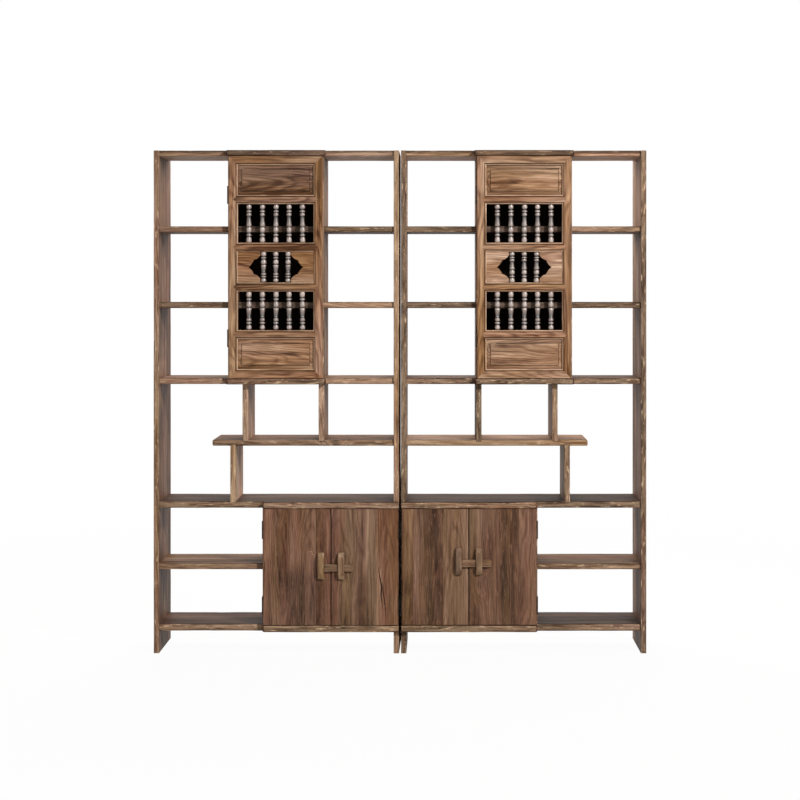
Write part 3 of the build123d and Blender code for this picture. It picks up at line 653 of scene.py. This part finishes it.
# ---- Upper door frames ----
# Stiles and rails of lighter elm, tenoned, with pointed shoulders where a rail meets a stile
# and mitres at the corners. A fine quirk runs round each opening.

# Waxed pale elm: orange-brown and even in hue, with dark flames
lattice_elm = elm(
    "waxed_pale_elm", ("#462c1b", "#714e37", "#967053", "#b78e6d", "#d8b595"),
    wear_and_highlight_colour="#d9b89a", crack_and_shade_colour="#2e1b10", contrast=1.25, hue_swing=0.006, saturation=0.98,
)
stile_width, end_rail, inner_rail = 0.037, 0.037, 0.037
panel_opening, long_length, short_length = 0.121, 0.157, 0.125
quirk_inset, quirk_width, quirk_depth = 0.0052, 0.0036, 0.0030
cut_clearance = 0.001


def carve(shape, cutter):
    """Cuts a closed cutter out of a mesh."""
    bmesh.ops.recalc_face_normals(cutter, faces=cutter.faces)
    work = new_object("work", finished_mesh("work", shape))
    tool = new_object("tool", finished_mesh("tool", cutter))
    cut = work.modifiers.new("cut", "BOOLEAN")
    cut.operation = "DIFFERENCE"
    cut.solver = "EXACT"
    cut.object = tool
    bpy.context.view_layer.update()
    result = bpy.data.meshes.new_from_object(work.evaluated_get(bpy.context.evaluated_depsgraph_get()))
    left = bmesh.new()
    left.from_mesh(result)
    for thing in (work, tool):
        bpy.data.objects.remove(thing)
    bpy.data.meshes.remove(result)
    bmesh.ops.remove_doubles(left, verts=left.verts, dist=1e-6)
    bmesh.ops.dissolve_limit(left, angle_limit=flat_angle, verts=left.verts, edges=left.edges)
    return left


def door_openings(door_low, door_high):
    """The five openings between the rails, foot first, as x and z ranges."""
    sides = (door_low.x + stile_width, door_high.x - stile_width)
    found = []
    height = door_low.z + end_rail
    for opening in (panel_opening, long_length, short_length, long_length, panel_opening):
        found.append((sides, (height, height + opening)))
        height += opening + inner_rail
    return found


def ring_cutter(openings, insets, depths):
    """Square grooves round the openings, between two insets and from one depth to another."""
    cutter = bmesh.new()
    for (x0, x1), (z0, z1) in openings:
        rings = []
        for inset in insets:
            for y in depths:
                rings.append([cutter.verts.new(corner) for corner in (
                    (x0 - inset, y, z0 - inset), (x1 + inset, y, z0 - inset),
                    (x1 + inset, y, z1 + inset), (x0 - inset, y, z1 + inset))])
        inner_front, inner_back, outer_front, outer_back = rings
        for here in range(4):
            after = (here + 1) % 4
            for one, other in ((inner_front, outer_front), (outer_front, outer_back),
                               (outer_back, inner_back), (inner_back, inner_front)):
                cutter.faces.new((one[here], one[after], other[after], other[here]))
    return cutter


# tones of the rails, foot first: the left door's third rail down is a dark piece
rail_tones = {
    "left_unit": (0.50, 0.42, 0.12, -0.08, 0.10, 0.40),
    "right_unit": (0.5, 0.62, 0.45, 0.55, 0.40, 0.42),
}
for unit in units:
    body = f"{unit}_upper_door"
    door_low, door_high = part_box(f"{unit}_upper_door_stiles")
    for part, along, tones in (("stiles", "Z", (0.55, 0.48)), ("rails", "X", rail_tones[unit])):
        node = f"{unit}_upper_door_{part}"
        quirks = ring_cutter(door_openings(door_low, door_high), (quirk_inset, quirk_inset + quirk_width),
                             (door_low.y - cut_clearance, door_low.y + quirk_depth))
        moulded = carve(merged_copy(node), quirks)
        # the carved quirks take painted shade, and the frame's bevels a painted highlight
        worn_wood(f"{node}_frame", moulded, body, node, lattice_elm, along,
                  round_off=0.0008, wander=0.0003, least=0.0033, edge_wear=0.0, front_wave=0.0,
                  tones=tones, order="z" if part == "rails" else "x", moulded=True)

# ---- Raised panels ----
# A fielded elm panel at the head and foot of each upper door, planed from one board and loose in
# the frame's grooves. Its middle stands up from a bevelled margin, with a fine step between.
panel_tones = {"left_unit": (0.58, -0.40), "right_unit": (0.30, 0.34)}
field_margin = 0.017
# the step's groove: its reach outside and inside the field's edge, and its two depths
groove_width, groove_past = 0.0026, 0.0001
groove_top, groove_bottom = 0.0025, 0.0078
for unit in units:
    node = f"{unit}_upper_door_raised_panels"
    door_low, door_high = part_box(f"{unit}_upper_door_stiles")
    ends = door_openings(door_low, door_high)[::4]
    step = ring_cutter(ends, (-field_margin - groove_past, -field_margin + groove_width),
                       (door_low.y + groove_top, door_low.y + groove_bottom))
    # the step's groove takes painted shade
    worn_wood(f"{node}_boards", carve(merged_copy(node), step), f"{unit}_upper_door", node,
              lattice_elm, "X", round_off=0.0008, wander=0.0004, least=0.0015,
              edge_wear=0.0, front_wave=0.0, tones=panel_tones[unit], order="z", moulded=True)

# ---- Cusped boards ----
# Two elm boards, fret-sawn to a pointed and cusped outline, frame the three middle balusters.
# They stand in the frame's grooves, 4 mm behind its face, with their sawn edges eased by hand.
for unit in units:
    node = f"{unit}_upper_door_cusped_boards"
    worn_wood(f"{node}_fretwork", merged_copy(node), f"{unit}_upper_door", node,
              lattice_elm, "X", round_off=0.0024, wander=0.0003, least=0.0015, edge_wear=0.0,
              front_wave=0.0, tones=[0.55, 0.52])

# ---- Balusters ----
# Turned elm spindles, doweled between the rails: cap, neck, rings, vase, beads and bell foot.
# Turning and years of dust leave them greyer than the frame, with rings paler for rubbing and hollows
# darkened as painted shade.
baluster_radius = 0.0108
ring_segments = 20
arc_steps = 5
turned_profile = [
    # share of the length, radius at its top, middle and foot, as shares of the largest
    (0.145, 0.72, 1.00, 0.74),
    (0.020, 0.70, 0.66, 0.70),
    (0.045, 0.84, 1.00, 0.84),
    (0.020, 0.74, 0.70, 0.76),
    (0.085, 0.84, 0.95, 0.84),
    (0.255, 0.76, 0.86, 1.00),
    (0.020, 0.80, 0.74, 0.80),
    (0.160, 0.86, 1.00, 0.82),
    (0.030, 0.78, 0.74, 0.78),
    (0.045, 0.84, 1.00, 0.84),
    (0.015, 0.76, 0.72, 0.76),
    (0.160, 0.80, 1.00, 0.90),
]
# rings wider than this share of the largest radius are paler for rubbing, and narrower ones darker with
# painted shade
rub_and_shade_from = 0.72


def turned_wood():
    """Turned elm, grey-brown and darkened in the hollows as painted shade, and rubbed pale and glossy on the
    rings.
    """
    material, put = new_material("turned_grey_elm")
    place = put("ShaderNodeTexCoord").outputs["Object"]
    # fibres drawn 3 mm wide and 70 mm long, coarse enough to show, and dust in patches of 40 mm
    fibre_place = put(vector_maths, multiply, {0: place, 1: (330, 330, 14)})
    fibre = put("ShaderNodeTexNoise", inputs={"Vector": fibre_place, "Scale": 1.0, "Detail": 4.0})
    patch = put("ShaderNodeTexNoise", inputs={"Vector": place, "Scale": 26.0, "Detail": 3.0})
    rub = put("ShaderNodeAttribute", {"attribute_name": "rub"}).outputs["Fac"]
    mixed = put(maths, multiply_add, {0: fibre, 1: 0.45, 2: -0.20})
    mixed = put(maths, multiply_add, {0: patch, 1: 0.30, 2: mixed})
    # the rub layer pales the wide rings, and its low end is painted shade in the hollows
    mixed = put(maths, {"operation": "MULTIPLY_ADD", "use_clamp": True}, {0: rub, 1: 0.72, 2: mixed})
    colour = put("ShaderNodeValToRGB", inputs={"Fac": mixed}, stops=[
        (0.15, "#150f0c"), (0.4, "#382b25"), (0.65, "#6c5b52"), (0.95, "#b3a196")])
    bump = put("ShaderNodeBump", inputs={"Strength": 0.3, "Distance": 0.0006, "Height": fibre})
    wood = put("ShaderNodeBsdfPrincipled", inputs={
        "Base Color": colour, "Roughness": 0.45, "Specular IOR Level": 0.9, "Normal": bump,
        "Coat Weight": 1.0, "Coat Roughness": 0.38, "Coat IOR": 1.6})
    put("ShaderNodeOutputMaterial", inputs={"Surface": wood})
    return material


def baluster_outline(length, upside_down):
    """Radius and height up one spindle, foot first."""
    points = []
    height = length
    for portion, above, middle, below in turned_profile:
        step = portion * length
        bow = middle - (above + below) / 2
        for index in range(arc_steps + 1):
            t = index / arc_steps
            radius = above + (below - above) * t + bow * 4 * t * (1 - t)
            points.append((radius * baluster_radius, height - step * t))
        height -= step
    points.reverse()
    if upside_down:
        points = [(radius, length - z) for radius, z in reversed(points)]
    return points


def turn_baluster(name, length, upside_down):
    """One spindle as a closed lathe mesh, its rings marked by width: rubbed where wide, painted shade where
    narrow.
    """
    shape = bmesh.new()
    rub = shape.verts.layers.float.new("rub")
    rings = []
    for radius, z in baluster_outline(length, upside_down):
        ring = []
        for step in range(ring_segments):
            turn = 2 * math.pi * step / ring_segments
            vertex = shape.verts.new((radius * math.cos(turn), radius * math.sin(turn), z))
            vertex[rub] = max(0.0, (radius / baluster_radius - rub_and_shade_from) / (1 - rub_and_shade_from))
            ring.append(vertex)
        rings.append(ring)
    for low, high in zip(rings, rings[1:]):
        for step in range(ring_segments):
            after = (step + 1) % ring_segments
            shape.faces.new((low[step], low[after], high[after], high[step]))
    shape.faces.new(list(reversed(rings[0])))
    shape.faces.new(rings[-1])
    bmesh.ops.remove_doubles(shape, verts=shape.verts, dist=1e-6)
    for face in shape.faces:
        face.smooth = len(face.verts) == 4
    return finished_mesh(name, shape)


# each spindle leans by up to this angle either way, and is turned about its axis by up to a turn
spindle_lean, spindle_turn, row_seed = 0.012, 6.28, 7


def baluster_row_tree(material):
    """Geometry nodes that set out a row of one spindle, each turned a little differently."""
    tree = bpy.data.node_groups.new("baluster_row", "GeometryNodeTree")
    for name, kind in (("Geometry", "Geometry"), ("Count", "Int"), ("Start", "Vector"), ("Pitch", "Float")):
        tree.interface.new_socket(name, in_out="INPUT", socket_type=f"NodeSocket{kind}")
    tree.interface.new_socket("Geometry", in_out="OUTPUT", socket_type="NodeSocketGeometry")
    put = partial(add_node, tree)
    given = put("NodeGroupInput").outputs
    step = put("ShaderNodeCombineXYZ", inputs={"X": given["Pitch"]})
    line = put("GeometryNodeMeshLine", inputs={
        "Count": given["Count"], "Start Location": given["Start"], "Offset": step})
    turn = put("FunctionNodeRandomValue", {"data_type": "FLOAT_VECTOR"}, {
        0: (-spindle_lean, -spindle_lean, 0.0), 1: (spindle_lean, spindle_lean, spindle_turn),
        "Seed": row_seed})
    row = put("GeometryNodeInstanceOnPoints", inputs={
        "Points": line, "Instance": given["Geometry"], "Rotation": turn})
    real = put("GeometryNodeRealizeInstances", inputs={0: row})
    finish = put("GeometryNodeSetMaterial", inputs={"Geometry": real, "Material": material})
    put("NodeGroupOutput", inputs={"Geometry": finish})
    return tree


spindle_elm = turned_wood()
row_tree = baluster_row_tree(spindle_elm)
sockets = {item.name: item.identifier for item in row_tree.interface.items_tree if item.in_out == "INPUT"}
long_pitch, short_pitch = 0.0545, 0.0495
for unit in units:
    node = f"{unit}_upper_door_balusters"
    door_low, door_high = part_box(f"{unit}_upper_door_stiles")
    middle_x = (door_low.x + door_high.x) / 2
    middle_y = (door_low.y + door_high.y) / 2
    feet = [z[0] for _, z in door_openings(door_low, door_high)]
    # how many, their pitch and length, the foot's height, and whether they stand on their heads
    rows = [
        (5, long_pitch, long_length, feet[1], True),
        (3, short_pitch, short_length, feet[2], unit == "left_unit"),
        (5, long_pitch, long_length, feet[3], False),
    ]
    joined = bmesh.new()
    for count, pitch, length, foot, upside_down in rows:
        spindle = new_object("spindle", turn_baluster("spindle", length, upside_down))
        modifier = spindle.modifiers.new("row", "NODES")
        modifier.node_group = row_tree
        modifier[sockets["Count"]] = count
        modifier[sockets["Start"]] = (middle_x - (count - 1) / 2 * pitch, middle_y, foot)
        modifier[sockets["Pitch"]] = pitch
        spindle.update_tag()
        bpy.context.view_layer.update()
        evaluated = spindle.evaluated_get(bpy.context.evaluated_depsgraph_get())
        row_mesh = bpy.data.meshes.new_from_object(evaluated)
        joined.from_mesh(row_mesh)
        bpy.data.objects.remove(spindle)
        bpy.data.meshes.remove(row_mesh)
    mesh = finished_mesh(f"{node}_turned", joined)
    mesh.materials.clear()
    mesh.materials.append(spindle_elm)
    piece = new_object(f"{node}_turned", mesh)
    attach(piece, f"{unit}_upper_door")
    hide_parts(node)

# ---- Lower doors ----
# Each door is three elm boards glued edge to edge, grain upright. The boards come from different
# trees, so one is redder or darker than the next, and the glue line shows only as that change.

# Waxed door elm: deep brown in broad patches, with fewer and softer lines than the carcass
door_elm = elm(
    "waxed_elm_door_boards", ("#2c1d16", "#4f392d", "#6f5342", "#8d6d58", "#ad8c74"),
    wear_and_highlight_colour="#a38067", crack_and_shade_colour="#1d110b", contrast=1.45, hue_swing=0.013, streaks=0.80, lines=0.60, patches=1.45,
)
# where the boards meet, as shares of the door's width, and how pale each board is
door_boards = {
    "left_unit_left_door": ((0.40, 0.78), (0.62, 0.55, 0.45)),
    "left_unit_right_door": ((0.30, 0.68), (0.30, 0.10, 0.90)),
    "right_unit_left_door": ((0.17, 0.62), (0.82, 0.12, 0.50)),
    "right_unit_right_door": ((0.40, 0.74), (0.25, 0.15, 0.36)),
}
# a dark foot: the board's x range, the height where it starts, and how much darker it is
foot_stains = {"left_unit_left_door": (-0.446, -0.340, 0.40, 0.8)}
stain_fade = 0.12
# one knife slip and two drying splits, on the left unit: head, foot, half the width, and depth
slip_depth, split_depth = 0.0024, 0.008
door_splits = {
    "left_unit_left_door": [((-0.3735, 0.4280), (-0.3440, 0.4020), 0.0040, slip_depth)],
    "left_unit_right_door": [
        ((-0.0840, 0.3640), (-0.0722, 0.1820), 0.0030, split_depth),
        ((-0.0700, 0.3020), (-0.0555, 0.1350), 0.0024, split_depth),
    ],
}
split_steps = 12
# a split's sway in half widths, its least share of the width, the power of the sine that fills
# it out, and the share of its mouth that is left at the bottom
split_sway, least_share, fullness, bottom_share = 2.2, 0.08, 0.7, 0.3
behind_front = 0.0002
# the knife slip's flanks are drawn this pale, and the doors' rounded edges this dark with painted shade
slip_flank_paleness, door_edge_shade = 8.0, 0.85


def split_cutter(splits, front):
    """Long lens-shaped wedges that open a board along its grain."""
    cutter = bmesh.new()
    for index, (head, foot, half, depth) in enumerate(splits):
        along = Vector((foot[0] - head[0], 0, foot[1] - head[1]))
        side = Vector((along.z, 0, -along.x)).normalized()
        mouth, bottom = front - cut_clearance, front + depth
        rows = []
        for step in range(split_steps + 1):
            t = step / split_steps
            sway = side * noise.noise(Vector((t * 3.1, index * 7.7, 0.0))) * half * split_sway
            middle = Vector((head[0], 0, head[1])) + along * t + sway
            reach = half * max(least_share, math.sin(math.pi * t) ** fullness)
            deep = reach * bottom_share
            places = ((-reach, mouth), (reach, mouth), (deep, bottom), (-deep, bottom))
            rows.append([cutter.verts.new(middle + side * off + Vector((0, y, 0))) for off, y in places])
        for low, high in zip(rows, rows[1:]):
            for here in range(4):
                after = (here + 1) % 4
                cutter.faces.new((low[here], low[after], high[after], high[here]))
        cutter.faces.new(rows[0])
        cutter.faces.new(rows[-1])
    return cutter


for door, (joints, tones) in door_boards.items():
    node = f"{door}_boards"
    low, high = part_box(node)
    edges = [low.x + share * (high.x - low.x) for share in (0.0, *joints, 1.0)]
    shape = bmesh.new()
    for left, right in zip(edges, edges[1:]):
        board = bmesh.new()
        made = bmesh.ops.create_cube(board, size=1.0)
        for vertex in made["verts"]:
            vertex.co = Vector((
                left if vertex.co.x < 0 else right,
                low.y if vertex.co.y < 0 else high.y,
                low.z if vertex.co.z < 0 else high.z,
            ))
        if door in door_splits:
            board = carve(board, split_cutter(door_splits[door], low.y))
        whole = finished_mesh("board", board)
        shape.from_mesh(whole)
        bpy.data.meshes.remove(whole)

    def on_outline(edge, inner=tuple(edges[1:-1])):
        """True for the door's own arrises, and false along its glue lines."""
        middle = (edge.verts[0].co + edge.verts[1].co) / 2
        return all(abs(middle.x - x) > 1e-5 for x in inner)

    # the rounded outline is darkened with painted shade for the gaps round the door
    piece = worn_wood(f"{door}_glued_boards", shape, door, node, door_elm, "Z",
                      round_off=0.0018, keep=on_outline, tones=tones, arris_wear_and_highlight=0.0, arris_shade=door_edge_shade)
    # wax and smoke have darkened the foot of one board
    if door in foot_stains:
        x0, x1, stain_head, stain = foot_stains[door]
        for vertex, given in zip(piece.data.vertices, piece.data.attributes["tone"].data):
            if x0 < vertex.co.x < x1:
                given.value -= stain * within_one((stain_head - vertex.co.z) / stain_fade)
    # painted shade darkens the splits. The knife slip's flanks are drawn pale
    for head, foot, half, depth in door_splits.get(door, []):
        for index, face in enumerate(piece.data.polygons):
            centre = face.center
            inside = head[0] - half < centre.x < foot[0] + half and foot[1] < centre.z < head[1]
            if inside and low.y + behind_front < centre.y < low.y + depth + behind_front:
                if depth == slip_depth:
                    piece.data.attributes["wear"].data[index].value = slip_flank_paleness
                else:
                    piece.data.attributes["grime"].data[index].value = 1.0

# ---- Latches ----
# A keeper on the left door, a post on the right door and a flat bar that slides through the
# post, all cut from pale elm offcuts with knife-bevelled ends.

# Handled elm: rubbed by hands, it is paler and more even in tone than the doors behind it
latch_elm = elm(
    "handled_elm", ("#4a3323", "#6f543f", "#8d7058", "#a88b71", "#c7ab91"),
    wear_and_highlight_colour="#d2b69c", crack_and_shade_colour="#2c1c12", contrast=1.2, saturation=1.08,
)
latch_tones = {"left_unit": (0.45, 0.30, -0.32), "right_unit": (-0.75, -0.12, 0.0)}
# edges that turn more than this are rounded and drawn pale: painted highlight along the latches' bevels
bevelled_angle = math.radians(18)
for unit in units:
    keeper_tone, post_tone, bar_tone = latch_tones[unit]
    for part, body, along, tone, round_off in (
        ("latch_keeper", f"{unit}_left_door", "Z", keeper_tone, 0.0030),
        ("latch_post", f"{unit}_right_door", "Z", post_tone, 0.0030),
        ("latch_bar", f"{unit}_latch_bar", "X", bar_tone, 0.0020),
    ):
        node = f"{unit}_{part}"
        worn_wood(f"{node}_carved", merged_copy(node), body, node, latch_elm, along,
                  round_off=round_off, wander=0.0012, least=0.004, edge_wear=0.1, front_wave=0.0,
                  tones=[tone, tone], sharp=bevelled_angle)

# ---- Hinges ----
# Blacked iron butt hinges: fixed leaves on the walls, moving leaves on the doors' edges, and
# pins at the doors' front arris, with countersunk screws.


def blacked_iron():
    """Forge-blacked iron: near black, brown where the oil has worn, and a dull sheen."""
    material, put = new_material("blacked_iron")
    place = put("ShaderNodeTexCoord").outputs["Object"]
    # scale left by the forge, in patches of 6 mm
    patch = put("ShaderNodeTexNoise", inputs={"Vector": place, "Scale": 160.0, "Detail": 5.0})
    colour = put("ShaderNodeValToRGB", inputs={"Fac": patch}, stops=[
        (0.38, "#1c1916"), (0.72, "#4a3a2e")])
    rough = put(map_range, inputs={"Value": patch, 1: 0.3, 2: 0.7, 3: 0.42, 4: 0.7})
    bump = put("ShaderNodeBump", inputs={"Strength": 0.4, "Distance": 0.0004, "Height": patch})
    metal = put("ShaderNodeBsdfPrincipled", inputs={
        "Base Color": colour, "Metallic": 0.85, "Roughness": rough, "Normal": bump})
    put("ShaderNodeOutputMaterial", inputs={"Surface": metal})
    return material


iron = blacked_iron()
hinge_nodes = ["fixed_hinge_leaves", "hinge_pins"]
for unit in units:
    hinge_nodes += [f"{unit}_{door}_hinge_leaves" for door in ("upper_door", "left_door", "right_door")]
for node in hinge_nodes:
    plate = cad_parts[node]
    plate.data.materials.clear()
    plate.data.materials.append(iron)
